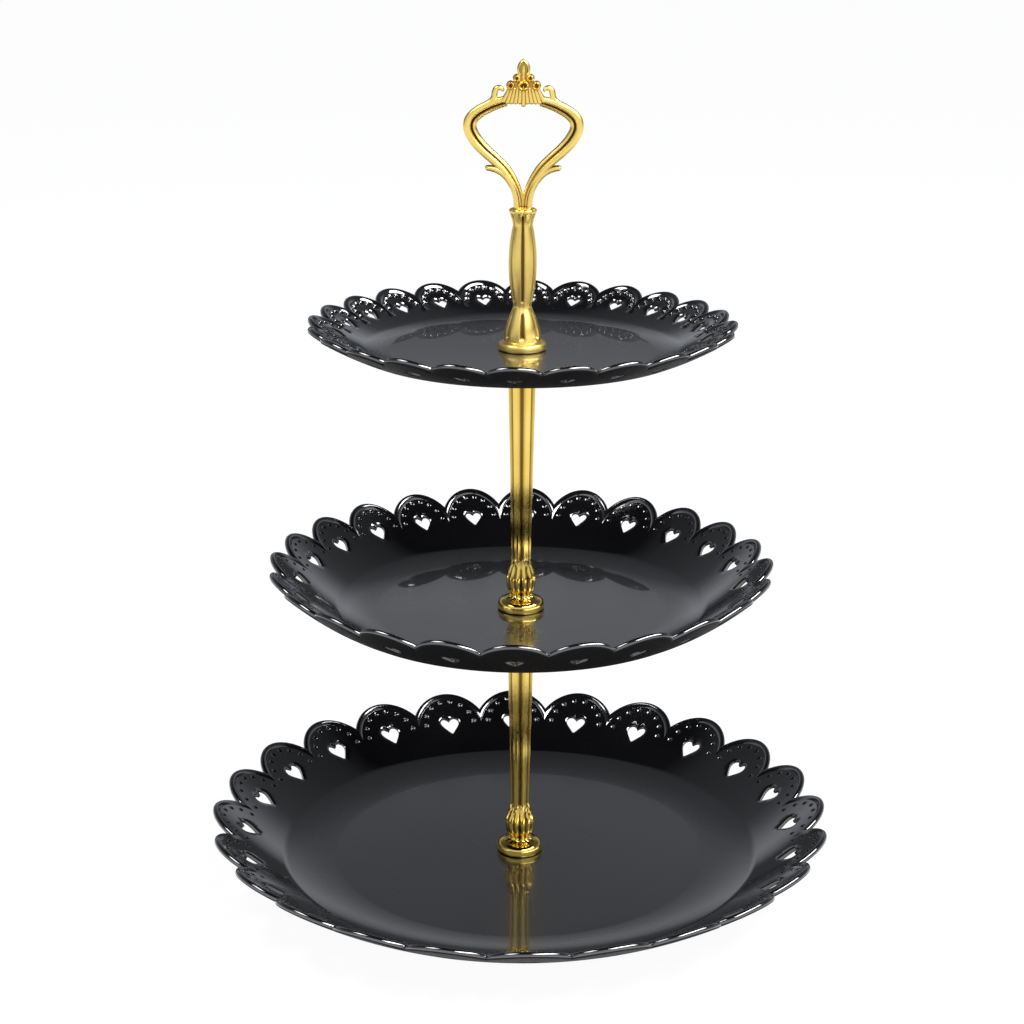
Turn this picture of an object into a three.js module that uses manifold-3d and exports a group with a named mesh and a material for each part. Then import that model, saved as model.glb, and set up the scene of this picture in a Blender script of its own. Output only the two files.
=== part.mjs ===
// Tiered cake stand: three scalloped plates on a screwed column of two fluted rods,
// topped by a cast loop handle. Millimetres, +Z up, origin on the resting plane under the column.

import * as THREE from "three";
import { mergeVertices } from "three/addons/utils/BufferGeometryUtils.js";
import Module from "manifold-3d";

const wasm = await Module();
wasm.setup();

// ---- driving dimensions ----------------------------------------------------------------

const TOTAL_HEIGHT = 350;
const TIER_SPACING = 112.24;
const FOOT_HEIGHT = 6.8;
const PLATE_WALL = 2.2;
const SCALLOPS = 24;
const RIM_CURVE_POWER = 2.23;
// Where the rim's wall has its rings, as shares of the way from the well to the scallop tips.
const RIM_STATIONS = [0, 0.34, 0.58, 0.8, 1.05];

// One entry per plate: tip radius over the scallops, radius of the flat well, height of the
// scallop tips over the well, radius of the heart centres, turn about the column in degrees,
// and the foot ring under the well.
const PLATES = [
  { name: "bottom_plate", tip: 132.8, well: 80.3, rise: 21.3, hearts: 118.1, turn: -1.82,
    foot: { radius: 70, width: 3, height: FOOT_HEIGHT } },
  { name: "middle_plate", tip: 105.3, well: 61.7, rise: 22.4, hearts: 93.4, turn: 1.36,
    foot: { radius: 54, width: 2.4, height: 2 } },
  { name: "top_plate", tip: 87.2, well: 54.6, rise: 12.3, hearts: 76.1, turn: 2.1,
    foot: { radius: 44, width: 2, height: 1.2 } },
];
const SCALLOP_DEPTH_RATIO = 0.061;
const HEART_WIDTH_RATIO = 0.062;
const HEART_LENGTH_RATIO = 0.055;

const THREAD_RADIUS = 2.95;
const THREAD_BORE_RADIUS = 3.25;
const PLATE_BORE_RADIUS = 3.4;
const THREAD_ENGAGEMENT = 11;
const BORE_DEPTH = 13;

const GASKET = { inner: 3.5, outer: 9, thickness: 1 };
const WASHER = { inner: 3.3, outer: 8.5, thickness: 1.2 };
const FACE_GAP = 0.1;
const SCREW_HEAD = {
  radius: 5.6, height: 2.6, bevel: 1.2, bevelHeight: 1.6, slot: 1.3, slotLength: 6.72, slotDepth: 1.4,
};
const STUD_CHAMFER = 0.6;

// Flute depths are shares of the radius. A rod's flutes start over its flange and stop under
// the plain band at its top, and its bulb has twice as many as its shaft and the handle.
const SHAFT_FLUTES = { lobes: 6, depth: 0.14 };
const BULB_FLUTES = { lobes: 12, depth: 0.09 };
const HANDLE_FLUTES = { lobes: 6, depth: 0.1 };
const ROD_FLUTE_FOOT = 5.6;
const BULB_TOP = 17;
const ROD_TOP_BAND = 1.2;

const PLATE_SEGMENTS = 48;
const STEPS_PER_SCALLOP = 4;
const LOBED_SEGMENTS = 36;
const RING_SEGMENTS = 20;
const THREAD_SEGMENTS = 16;
const BAR_SIDES = 8;
const CROWN_SEGMENTS = 12;

// How far a cutting solid reaches past what it cuts, and the distance under which corners join.
const CUT_MARGIN = 1;
const WELD_DISTANCE = 1e-4;

// ---- levels that follow from them ------------------------------------------------------

const wellLevel = (tier) => FOOT_HEIGHT + PLATE_WALL + tier * TIER_SPACING;
const STACK_ABOVE = GASKET.thickness + 2 * FACE_GAP;
const STACK_BELOW = PLATE_WALL + GASKET.thickness + WASHER.thickness + 3 * FACE_GAP;
const seatLevel = (tier) => wellLevel(tier) + STACK_ABOVE;
const underStackLevel = (tier) => wellLevel(tier) - STACK_BELOW;

// ---- materials -------------------------------------------------------------------------

const blackPlastic = () => new THREE.MeshStandardMaterial({ color: 0x0b0b0d, roughness: 0.12, metalness: 0 });
const goldPlate = () => new THREE.MeshStandardMaterial({ color: 0xe6b53c, roughness: 0.15, metalness: 1 });
const steel = () => new THREE.MeshStandardMaterial({ color: 0xb9bcc0, roughness: 0.3, metalness: 1 });
const softPlastic = () => new THREE.MeshStandardMaterial({ color: 0x1a1a1a, roughness: 0.6, metalness: 0 });

// ---- solids ----------------------------------------------------------------------------

function toSolid(geometry) {
  const bare = geometry.index ? geometry.toNonIndexed() : geometry.clone();
  bare.deleteAttribute("normal");
  bare.deleteAttribute("uv");
  const merged = mergeVertices(bare, WELD_DISTANCE);
  const corners = merged.index.array;
  const kept = [];
  for (let i = 0; i < corners.length; i += 3) {
    const [a, b, c] = corners.subarray(i, i + 3);
    if (a !== b && b !== c && c !== a) kept.push(a, b, c);
  }
  return new wasm.Manifold(new wasm.Mesh({
    numProp: 3,
    vertProperties: new Float32Array(merged.attributes.position.array),
    triVerts: new Uint32Array(kept),
  }));
}

function toGeometry(solid) {
  const mesh = solid.getMesh();
  const geometry = new THREE.BufferGeometry();
  geometry.setAttribute("position", new THREE.BufferAttribute(new Float32Array(mesh.vertProperties), 3));
  geometry.setIndex(new THREE.BufferAttribute(new Uint32Array(mesh.triVerts), 1));
  geometry.computeVertexNormals();
  return geometry;
}

// A solid turned about Z from [radius, height] points that run up its outside.
function turned(points, segments, close = false) {
  const profile = points.map(([r, z]) => new THREE.Vector2(r, z));
  if (close) profile.push(profile[0].clone());
  const geometry = new THREE.LatheGeometry(profile, segments);
  geometry.rotateX(Math.PI / 2);
  return geometry;
}

function cylinder(radius, from, to, segments) {
  return turned([[0, from], [radius, from], [radius, to], [0, to]], segments);
}

function ring(inner, outer, from, to, segments = RING_SEGMENTS) {
  return turned([[inner, from], [outer, from], [outer, to], [inner, to]], segments, true);
}

// A turned solid whose wall is pressed into convex lobes with sharp grooves between them.
// One groove faces -Y. flutesAt gives the flutes at each height, or false on a plain stretch.
function lobed(points, flutesAt) {
  const geometry = turned(points, LOBED_SEGMENTS);
  const position = geometry.attributes.position;
  for (let i = 0; i < position.count; i++) {
    const [x, y, z] = [position.getX(i), position.getY(i), position.getZ(i)];
    const flutes = flutesAt(z);
    if (!flutes) continue;
    const crest = Math.abs(Math.sin((flutes.lobes / 2) * Math.atan2(x, -y)));
    const scale = 1 - flutes.depth * (1 - crest);
    position.setXYZ(i, x * scale, y * scale, z);
  }
  return geometry;
}

// An eight-sided bar along a curve in the XZ plane, sized front to back and across the curve.
function bar(curve, frontToBack, across, steps) {
  const section = new THREE.Shape();
  for (let i = 0; i < BAR_SIDES; i++) {
    const angle = ((i + 0.5) / BAR_SIDES) * 2 * Math.PI;
    const x = (frontToBack / 2) * Math.cos(angle);
    const y = (across / 2) * Math.sin(angle);
    if (i === 0) section.moveTo(x, y);
    else section.lineTo(x, y);
  }
  section.closePath();
  return new THREE.ExtrudeGeometry(section, { steps, extrudePath: curve, bevelEnabled: false });
}

function mesh(name, geometry, material) {
  const result = new THREE.Mesh(geometry, material);
  result.name = name;
  return result;
}

// ---- plates ----------------------------------------------------------------------------

function rimHeight(plate, radius) {
  const along = (radius - plate.well) / (plate.tip - plate.well);
  return along <= 0 ? 0 : plate.rise * along ** RIM_CURVE_POWER;
}

function rimSlope(plate, radius) {
  const span = plate.tip - plate.well;
  const along = (radius - plate.well) / span;
  return along <= 0 ? 0 : (plate.rise * RIM_CURVE_POWER * along ** (RIM_CURVE_POWER - 1)) / span;
}

// The turned blank: flat well, foot ring under it and a rim that sweeps up past the scallops.
function plateBlank(plate) {
  const stations = RIM_STATIONS.map((t) => plate.well + t * (plate.tip - plate.well));
  const upper = stations.map((r) => [r, rimHeight(plate, r)]);
  const lower = stations.map((r) => {
    const lean = Math.atan(rimSlope(plate, r));
    return [r + PLATE_WALL * Math.sin(lean), rimHeight(plate, r) - PLATE_WALL * Math.cos(lean)];
  });
  const { radius, width, height } = plate.foot;
  const underside = [
    [PLATE_BORE_RADIUS, -PLATE_WALL],
    [radius - width, -PLATE_WALL],
    [radius - width / 2, -PLATE_WALL - height],
    [radius + width / 2, -PLATE_WALL - height],
    [radius + width, -PLATE_WALL],
  ];
  const outline = [...underside, ...lower, ...upper.reverse(), [PLATE_BORE_RADIUS, 0]];
  return turned(outline, PLATE_SEGMENTS, true);
}

// Outline of the scalloped edge in plan: one circular arc per scallop.
function scallopOutline(plate) {
  const halfPitch = Math.PI / SCALLOPS;
  const valley = plate.tip * (1 - SCALLOP_DEPTH_RATIO);
  const halfChord = valley * Math.sin(halfPitch);
  const sagitta = plate.tip - valley * Math.cos(halfPitch);
  const arcRadius = (halfChord ** 2 + sagitta ** 2) / (2 * sagitta);
  const arcHalfAngle = Math.asin(halfChord / arcRadius);
  const arcCentre = plate.tip - arcRadius;
  const shape = new THREE.Shape();
  for (let k = 0; k < SCALLOPS; k++) {
    for (let i = 0; i < STEPS_PER_SCALLOP; i++) {
      const arc = ((2 * i) / STEPS_PER_SCALLOP - 1) * arcHalfAngle;
      const out = arcCentre + arcRadius * Math.cos(arc);
      const across = arcRadius * Math.sin(arc);
      const point = new THREE.Vector2(across, out).rotateAround(new THREE.Vector2(), -plateAngle(plate, k));
      if (k === 0 && i === 0) shape.moveTo(point.x, point.y);
      else shape.lineTo(point.x, point.y);
    }
  }
  shape.closePath();
  return shape;
}

// Direction of scallop k, measured from +Y towards +X.
function plateAngle(plate, k) {
  return (2 * Math.PI * k) / SCALLOPS + THREE.MathUtils.degToRad(plate.turn);
}

// A heart with its point towards the column, as shares of its width and length.
const HEART_OUTLINE = [
  [0, -0.55], [0.36, -0.12], [0.5, 0.2], [0.28, 0.45], [0, 0.26], [-0.28, 0.45], [-0.5, 0.2], [-0.36, -0.12],
];

function heartHole(plate, k) {
  const width = plate.tip * HEART_WIDTH_RATIO;
  const length = plate.tip * HEART_LENGTH_RATIO;
  const points = HEART_OUTLINE.map(([u, v]) => {
    const point = new THREE.Vector2(u * width, plate.hearts + v * length);
    return point.rotateAround(new THREE.Vector2(), -plateAngle(plate, k));
  });
  return new THREE.Path(points);
}

function plateMesh(plate, tier) {
  const shape = scallopOutline(plate);
  for (let k = 0; k < SCALLOPS; k++) shape.holes.push(heartHole(plate, k));
  const below = plate.foot.height + PLATE_WALL + CUT_MARGIN;
  const above = rimHeight(plate, plate.tip + PLATE_WALL * RIM_CURVE_POWER) + CUT_MARGIN;
  const cutter = new THREE.ExtrudeGeometry(shape, { depth: below + above, bevelEnabled: false });
  cutter.translate(0, 0, -below);
  const solid = toSolid(plateBlank(plate)).intersect(toSolid(cutter));
  const result = mesh(plate.name, toGeometry(solid), blackPlastic());
  result.position.z = wellLevel(tier);
  return result;
}

// ---- rods ------------------------------------------------------------------------------

// Wall of a rod as [radius over the lobes, height over its seat]. The stretch from the bulb
// to the cup under the next plate widens evenly.
function rodProfile(length) {
  return [
    [0, 0], [9.1, 0], [9.7, 0.7], [9.7, 2.2], [8.9, 3.1], [6.4, 3.9], [5.1, 4.8], [4.8, 5.6], [5.5, 7.4],
    [6.3, 10.4], [6.3, 13], [5.5, 16], [4.5, 18.4], [4.2, 21], [4.8, length * 0.55], [5.8, length - 2.5],
    [6.1, length - ROD_TOP_BAND], [6.1, length], [0, length],
  ];
}

function rodMesh(name, tier) {
  const seat = seatLevel(tier);
  const length = underStackLevel(tier + 1) - FACE_GAP - seat;
  const fluted = (z) => z > ROD_FLUTE_FOOT && z < length - ROD_TOP_BAND;
  const flutesAt = (z) => fluted(z) && (z < BULB_TOP ? BULB_FLUTES : SHAFT_FLUTES);
  const bore = (from, to) => toSolid(cylinder(THREAD_BORE_RADIUS, from, to, THREAD_SEGMENTS));
  const solid = toSolid(lobed(rodProfile(length), flutesAt))
    .subtract(bore(-CUT_MARGIN, BORE_DEPTH))
    .subtract(bore(length - BORE_DEPTH, length + CUT_MARGIN));
  const result = mesh(name, toGeometry(solid), goldPlate());
  result.position.z = seat;
  return result;
}

// ---- handle ----------------------------------------------------------------------------

// Wall of the handle's foot and grip as [radius over the lobes, height over its seat].
const GRIP_PROFILE = [
  [0, 0], [9.6, 0], [10.2, 0.6], [10.2, 1.7], [9.6, 2.4], [7.5, 2.6], [7.3, 6], [6.2, 12.4], [4.3, 18.2],
  [4.6, 20.6], [6.1, 29], [6.1, 35.8], [5.3, 42.2], [4.3, 49.6], [4.6, 51.6], [5.6, 54.6], [5.4, 56.2],
  [4.1, 58.6], [3.9, 61], [0, 61],
];

// Stretches of that wall that are fluted: the bell foot, the grip and the collar.
const GRIP_FLUTED = [[2.6, 18.6], [20.2, 49.8], [51.4, 58.6]];

// The bars of the loop's right half. Each line runs through [x, height over the seat].
const LOOP_BARS = [
  // the arm, from the grip to the crown
  { frontToBack: 4.6, across: 5.6, steps: 20, line: [
    [1.9, 58.5], [2.3, 63], [4.1, 67.6], [7.2, 72.2], [11.2, 76], [15.6, 79.8], [19.5, 84.2], [21.5, 89],
    [20.7, 93], [17.2, 96.6], [12.6, 99.2], [8.6, 101.6],
  ] },
  // the spur that leaves the arm's foot
  { frontToBack: 3, across: 2.8, steps: 6, line: [[4.8, 68.6], [8, 72], [11.6, 73.4], [15.2, 73.2]] },
  // the scroll that curls up beside the crown
  { frontToBack: 3.4, across: 2.8, steps: 8, line: [
    [13.6, 98.8], [11.9, 101], [11.6, 104], [10, 105.9], [8, 105.2],
  ] },
];

function lineInPlane(points, side) {
  return new THREE.CatmullRomCurve3(points.map(([x, z]) => new THREE.Vector3(side * x, 0, z)));
}

// The crown's right edge as [x, height over its foot]: leaf tips below, stepped volutes above.
const CROWN_FOOT = 98.4;
const CROWN_EDGE = [
  [1.8, 0.4], [4, -0.1], [6.4, 0.5], [8.6, 0], [9.6, 1.2],
  [6.4, 5.4], [6, 7.4], [3.8, 8], [3.4, 10.2], [1.9, 11],
];
const CROWN_POINT = -1.2;
const CROWN_DEPTH = 4.6;
const BOSS = { radius: 1.7, height: 6.4, proud: 0.7 };
// The finial's wall as [radius, height]: heights over its foot, then heights under its tip.
const FINIAL_FOOT = 10;
const FINIAL_STEM = [[0, 0], [1.6, 0], [1.3, 1.2], [2.1, 2.8]];
const FINIAL_POINT = [[1.6, -1.6], [0, 0]];

function crownSolid(tipHeight) {
  const outline = new THREE.Shape();
  outline.moveTo(0, CROWN_FOOT + CROWN_POINT);
  for (const [x, z] of CROWN_EDGE) outline.lineTo(x, CROWN_FOOT + z);
  for (const [x, z] of CROWN_EDGE.slice().reverse()) outline.lineTo(-x, CROWN_FOOT + z);
  outline.closePath();
  const fan = new THREE.ExtrudeGeometry(outline, { depth: CROWN_DEPTH, bevelEnabled: false });
  fan.rotateX(Math.PI / 2);
  fan.translate(0, CROWN_DEPTH / 2, 0);
  const foot = CROWN_FOOT + FINIAL_FOOT;
  const stem = FINIAL_STEM.map(([r, z]) => [r, foot + z]);
  const point = FINIAL_POINT.map(([r, z]) => [r, tipHeight + z]);
  const finial = turned([...stem, ...point], CROWN_SEGMENTS);
  const halfBoss = CROWN_DEPTH / 2 + BOSS.proud;
  const boss = cylinder(BOSS.radius, -halfBoss, halfBoss, CROWN_SEGMENTS);
  boss.rotateX(Math.PI / 2);
  boss.translate(0, 0, CROWN_FOOT + BOSS.height);
  return toSolid(fan).add(toSolid(finial)).add(toSolid(boss));
}

function handleMesh() {
  const seat = seatLevel(2);
  const fluted = (z) => GRIP_FLUTED.some(([from, to]) => z > from && z < to);
  let solid = toSolid(lobed(GRIP_PROFILE, (z) => fluted(z) && HANDLE_FLUTES));
  for (const side of [-1, 1]) {
    for (const { frontToBack, across, steps, line } of LOOP_BARS) {
      solid = solid.add(toSolid(bar(lineInPlane(line, side), frontToBack, across, steps)));
    }
  }
  solid = solid
    .add(crownSolid(TOTAL_HEIGHT - seat))
    .subtract(toSolid(cylinder(THREAD_BORE_RADIUS, -CUT_MARGIN, BORE_DEPTH, THREAD_SEGMENTS)));
  const result = mesh("handle", toGeometry(solid), goldPlate());
  result.position.z = seat;
  return result;
}

// ---- fasteners, washers and gaskets ----------------------------------------------------

function baseScrewMesh() {
  const underHead = underStackLevel(0) - FACE_GAP;
  const head = SCREW_HEAD;
  const shankLength = seatLevel(0) + THREAD_ENGAGEMENT - underHead;
  const blank = turned([
    [0, -head.height], [head.radius - head.bevel, -head.height], [head.radius, -head.bevelHeight],
    [head.radius, 0], [THREAD_RADIUS, 0], [THREAD_RADIUS, shankLength], [0, shankLength],
  ], THREAD_SEGMENTS);
  const slots = [0, Math.PI / 2].map((turn) => {
    const box = new THREE.BoxGeometry(head.slotLength, head.slot, head.slotDepth * 2);
    box.rotateZ(turn);
    box.translate(0, 0, -head.height);
    return toSolid(box);
  });
  const solid = toSolid(blank).subtract(slots[0].add(slots[1]));
  const result = mesh("base_screw", toGeometry(solid), steel());
  result.position.z = underHead;
  return result;
}

// A headless stud, screwed up tight in the rod below and free in the fitting above.
function studMesh(name, tier) {
  const from = underStackLevel(tier) - FACE_GAP - THREAD_ENGAGEMENT;
  const to = seatLevel(tier) + THREAD_ENGAGEMENT;
  const endRadius = THREAD_RADIUS - STUD_CHAMFER;
  const geometry = turned([
    [0, from], [endRadius, from], [THREAD_RADIUS, from + STUD_CHAMFER],
    [THREAD_RADIUS, to - STUD_CHAMFER], [endRadius, to], [0, to],
  ], THREAD_SEGMENTS);
  return mesh(name, geometry, steel());
}

function upperGasketMesh(prefix, tier) {
  const from = wellLevel(tier) + FACE_GAP;
  const geometry = ring(GASKET.inner, GASKET.outer, from, from + GASKET.thickness);
  return mesh(`${prefix}_upper_gasket`, geometry, softPlastic());
}

function lowerGasketMesh(prefix, tier) {
  const to = wellLevel(tier) - PLATE_WALL - FACE_GAP;
  const geometry = ring(GASKET.inner, GASKET.outer, to - GASKET.thickness, to);
  return mesh(`${prefix}_lower_gasket`, geometry, softPlastic());
}

function washerMesh(prefix, tier) {
  const from = underStackLevel(tier);
  const geometry = ring(WASHER.inner, WASHER.outer, from, from + WASHER.thickness);
  return mesh(`${prefix}_washer`, geometry, steel());
}

// ---- assembly --------------------------------------------------------------------------

const stand = new THREE.Group();
stand.add(baseScrewMesh());
["bottom", "middle", "top"].forEach((prefix, tier) => {
  stand.add(plateMesh(PLATES[tier], tier));
  stand.add(upperGasketMesh(prefix, tier));
  stand.add(lowerGasketMesh(prefix, tier));
  stand.add(washerMesh(prefix, tier));
});
stand.add(rodMesh("lower_rod", 0));
stand.add(rodMesh("upper_rod", 1));
stand.add(studMesh("lower_stud", 1));
stand.add(studMesh("upper_stud", 2));
stand.add(handleMesh());

export default stand;
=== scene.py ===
"""Tiered cake stand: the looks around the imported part. Lengths in the helpers are millimetres and
become metres where a mesh is made. The frame is the part's own: +Z up, the stand rests on z = 0."""

import math

import bpy
import numpy as np
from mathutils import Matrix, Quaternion, Vector
from mathutils.geometry import delaunay_2d_cdt


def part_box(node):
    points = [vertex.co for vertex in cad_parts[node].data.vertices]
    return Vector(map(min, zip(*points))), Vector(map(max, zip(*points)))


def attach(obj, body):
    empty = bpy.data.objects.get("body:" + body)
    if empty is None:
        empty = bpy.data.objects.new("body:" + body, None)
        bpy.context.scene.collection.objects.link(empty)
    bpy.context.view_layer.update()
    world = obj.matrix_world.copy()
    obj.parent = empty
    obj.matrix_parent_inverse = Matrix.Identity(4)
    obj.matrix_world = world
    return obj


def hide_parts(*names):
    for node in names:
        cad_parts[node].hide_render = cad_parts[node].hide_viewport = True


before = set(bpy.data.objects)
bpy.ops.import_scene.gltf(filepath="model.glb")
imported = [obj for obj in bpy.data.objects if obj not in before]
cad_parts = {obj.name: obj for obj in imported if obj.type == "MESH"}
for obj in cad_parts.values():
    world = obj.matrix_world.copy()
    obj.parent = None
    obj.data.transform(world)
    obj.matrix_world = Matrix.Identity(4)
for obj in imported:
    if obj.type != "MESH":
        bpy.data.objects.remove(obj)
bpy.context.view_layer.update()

MM = 0.001
SCALLOPS = 24
HALF_PITCH = math.pi / SCALLOPS


def level(node, corner=0):
    """Height in mm of a CAD node's lowest (0) or highest (1) point."""
    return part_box(node)[corner].z / MM


# ---- mesh helpers


class Surface:
    """Collects vertices, faces, a normal per face corner and how much shade is painted on each vertex,
    from 0 to 1, and welds them at the end."""

    def __init__(self):
        self.points, self.normals, self.faces, self.recess, self.count = [], [], [], [], 0

    def add(self, points, normals, faces, recess=None):
        self.points.append(np.asarray(points, float))
        self.normals.append(np.asarray(normals, float))
        self.recess.append(np.zeros(len(points)) if recess is None else np.asarray(recess, float))
        self.faces += [[i + self.count for i in f] for f in faces]
        self.count += len(points)

    def mesh(self, name):
        points = np.concatenate(self.points)
        normals = np.concatenate(self.normals)
        _, first, inverse = np.unique(
            np.round(points, 4), axis=0, return_index=True, return_inverse=True
        )
        inverse = inverse.reshape(-1)
        faces, corners = [], []
        for face in self.faces:
            welded, kept = [], []
            for i in face:
                w = int(inverse[i])
                if w not in welded:
                    welded.append(w)
                    kept.append(i)
            if len(welded) > 2:
                a, b, c = (points[i] for i in (kept[0], kept[1], kept[-1]))
                if np.cross(b - a, c - a) @ normals[kept].sum(0) < 0:
                    welded, kept = welded[::-1], kept[::-1]
                faces.append(welded)
                corners += kept
        mesh = bpy.data.meshes.new(name)
        mesh.from_pydata((points[first] * MM).tolist(), [], faces)
        mesh.polygons.foreach_set("use_smooth", [True] * len(faces))
        mesh.normals_split_custom_set(normals[corners].tolist())
        recess = np.zeros(len(first))
        np.maximum.at(recess, inverse, np.concatenate(self.recess))
        if recess.any():
            mesh.attributes.new("recess", "FLOAT", "POINT").data.foreach_set("value", recess)
        mesh.update()
        return mesh


def unit(v):
    return v / np.maximum(np.linalg.norm(v, axis=-1, keepdims=True), 1e-12)


def inside_loop(points, loop):
    """Which plan points lie inside a closed loop."""
    a, b = loop, np.roll(loop, -1, axis=0)
    x, y = points[:, :1], points[:, 1:]
    crosses = (a[:, 1] > y) != (b[:, 1] > y)
    with np.errstate(divide="ignore", invalid="ignore"):
        at = (b[:, 0] - a[:, 0]) * (y - a[:, 1]) / (b[:, 1] - a[:, 1]) + a[:, 0]
    return (crosses & (x < at)).sum(1) % 2 == 1


def grid_faces(rows, columns, closed=True):
    """Quads between rows of points. The mesh turns each one to face the way its normals point."""
    faces = []
    for i in range(rows - 1):
        for j in range(columns if closed else columns - 1):
            k = (j + 1) % columns
            faces.append([i * columns + j, i * columns + k, (i + 1) * columns + k, (i + 1) * columns + j])
    return faces


def profile_stretches(profile, sharp=35):
    """Cuts a line of [radius, height] points at its corners and gives each stretch with the normals
    on the left of its direction of travel."""
    p = np.asarray(profile, float)
    d = unit(np.diff(p, axis=0))
    side = np.stack([d[:, 1], -d[:, 0]], 1)
    turn = [math.degrees(math.acos(max(-1, min(1, float(a @ b))))) for a, b in zip(d[:-1], d[1:])]
    start, out = 0, []
    for i in range(1, len(p)):
        if i == len(p) - 1 or turn[i - 1] > sharp:
            n = [side[start]]
            n += [unit(side[k - 1] + side[k]) for k in range(start + 1, i)]
            n.append(side[i - 1])
            out.append((p[start : i + 1], np.array(n)))
            start = i
    return out


def spin(surface, rows, normals, segments, start=0.0):
    """Turns rows of [radius, height] and their normals about the column."""
    angle = start + np.arange(segments) * 2 * math.pi / segments
    s, c = np.sin(angle), np.cos(angle)
    points, normals = (
        np.stack([pairs[:, :1] * s, pairs[:, :1] * c, pairs[:, 1:] + 0 * s], -1).reshape(-1, 3)
        for pairs in (rows, normals)
    )
    surface.add(points, normals, grid_faces(len(rows), segments))


def revolve(surface, profile, segments, sharp=35, start=0.0):
    """Adds a turned surface. Going up the outside of a solid gives normals that point outwards."""
    for points, normals in profile_stretches(profile, sharp):
        spin(surface, points, normals, segments, start)


def rounded(points, radius=0.25, steps=3):
    """A line with its inner corners rounded by up to that radius."""
    p = [np.array(q, float) for q in points]
    out = [p[0]]
    for a, b, c in zip(p[:-2], p[1:-1], p[2:]):
        u, v = a - b, c - b
        lu, lv = np.linalg.norm(u), np.linalg.norm(v)
        reach = min(radius, lu * 0.45, lv * 0.45)
        s, e = b + u / lu * reach, b + v / lv * reach
        for i in range(steps + 1):
            t = i / steps
            out.append((1 - t) ** 2 * s + 2 * t * (1 - t) * b + t * t * e)
    out.append(p[-1])
    return [q.tolist() for q in out]


def smooth_line(points, steps=6):
    """A Catmull-Rom line through the points, in any number of dimensions."""
    p = np.asarray(points, float)
    p = np.concatenate([[2 * p[0] - p[1]], p, [2 * p[-1] - p[-2]]])
    out = []
    for i in range(1, len(p) - 2):
        a, b, c, d = p[i - 1], p[i], p[i + 1], p[i + 2]
        for k in range(steps):
            t = k / steps
            out.append(0.5 * (2 * b + (c - a) * t + (2 * a - 5 * b + 4 * c - d) * t * t
                              + (3 * b - a - 3 * c + d) * t ** 3))
    out.append(p[-2])
    return np.array(out)


def new_object(name, data):
    piece = bpy.data.objects.new(name, data)
    bpy.context.scene.collection.objects.link(piece)
    return piece


def place(surface, name, material, body, nodes):
    """Makes the piece's object, gives it its finish and hangs it on its CAD body."""
    mesh = surface.mesh(name)
    mesh.materials.append(material)
    piece = new_object(name, mesh)
    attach(piece, body)
    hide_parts(*nodes)


# ---- materials


def color_ramp(tree, value, stops):
    node = tree.nodes.new("ShaderNodeValToRGB")
    elements = node.color_ramp.elements
    while len(elements) < len(stops):
        elements.new(0.5)
    for element, (position, color) in zip(elements, stops):
        element.position = position
        element.color = (*color, 1)
    tree.links.new(value, node.inputs["Fac"])
    return node.outputs["Color"]


def mix(tree, kind, share, a, b):
    """Socket a where the share is 0, socket b where it is 1. The kind is FLOAT or RGBA."""
    node = tree.nodes.new("ShaderNodeMix")
    node.data_type = kind
    ending = {"FLOAT": "Float", "RGBA": "Color"}[kind]
    sockets = {socket.identifier: socket for socket in [*node.inputs, *node.outputs]}
    for name, value in (("Factor_Float", share), ("A_" + ending, a), ("B_" + ending, b)):
        tree.links.new(value, sockets[name])
    return sockets["Result_" + ending]


class Nodes:
    """A short way to build a material's node tree."""

    def __init__(self, name):
        self.material = bpy.data.materials.new(name)
        self.material.use_nodes = True
        self.tree = self.material.node_tree
        self.shader = self.tree.nodes["Principled BSDF"]
        coordinates = self.tree.nodes.new("ShaderNodeTexCoord")
        self.place = coordinates.outputs["Object"]

    def link(self, a, b):
        self.tree.links.new(a, b)

    def noise(self, scale, detail=3, stretch=None):
        node = self.tree.nodes.new("ShaderNodeTexNoise")
        node.inputs["Scale"].default_value = scale
        node.inputs["Detail"].default_value = detail
        source = self.place
        if stretch:
            mapping = self.tree.nodes.new("ShaderNodeMapping")
            mapping.inputs["Scale"].default_value = stretch
            self.link(source, mapping.inputs["Vector"])
            source = mapping.outputs["Vector"]
        self.link(source, node.inputs["Vector"])
        return node.outputs["Fac"]

    def spread(self, value, low, high, start=0.3, end=0.7):
        node = self.tree.nodes.new("ShaderNodeMapRange")
        for name, v in (("From Min", start), ("From Max", end), ("To Min", low), ("To Max", high)):
            node.inputs[name].default_value = v
        self.link(value, node.inputs["Value"])
        return node.outputs["Result"]

    def ramp(self, value, low, high):
        """A colour that goes from low to high over the middle of a noise's range."""
        return color_ramp(self.tree, value, [(0.3, low), (0.7, high)])

    def facing(self, start, end):
        """0 where the surface's normal rises less than the start, 1 above the end."""
        coordinates = self.tree.nodes.new("ShaderNodeTexCoord")
        axes = self.tree.nodes.new("ShaderNodeSeparateXYZ")
        self.link(coordinates.outputs["Normal"], axes.inputs[0])
        return self.spread(axes.outputs["Z"], 0, 1, start, end)

    def blend(self, share, a, b):
        return mix(self.tree, "FLOAT", share, a, b)

    def bump(self, height, strength, distance, after=None):
        node = self.tree.nodes.new("ShaderNodeBump")
        node.inputs["Strength"].default_value = strength
        node.inputs["Distance"].default_value = distance
        self.link(height, node.inputs["Height"])
        if after is not None:
            self.link(after, node.inputs["Normal"])
        return node.outputs["Normal"]

    def set(self, **values):
        for name, value in values.items():
            socket = self.shader.inputs[name.replace("_", " ")]
            if isinstance(value, bpy.types.NodeSocket):
                self.link(value, socket)
            else:
                socket.default_value = value
        return self.material


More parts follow.
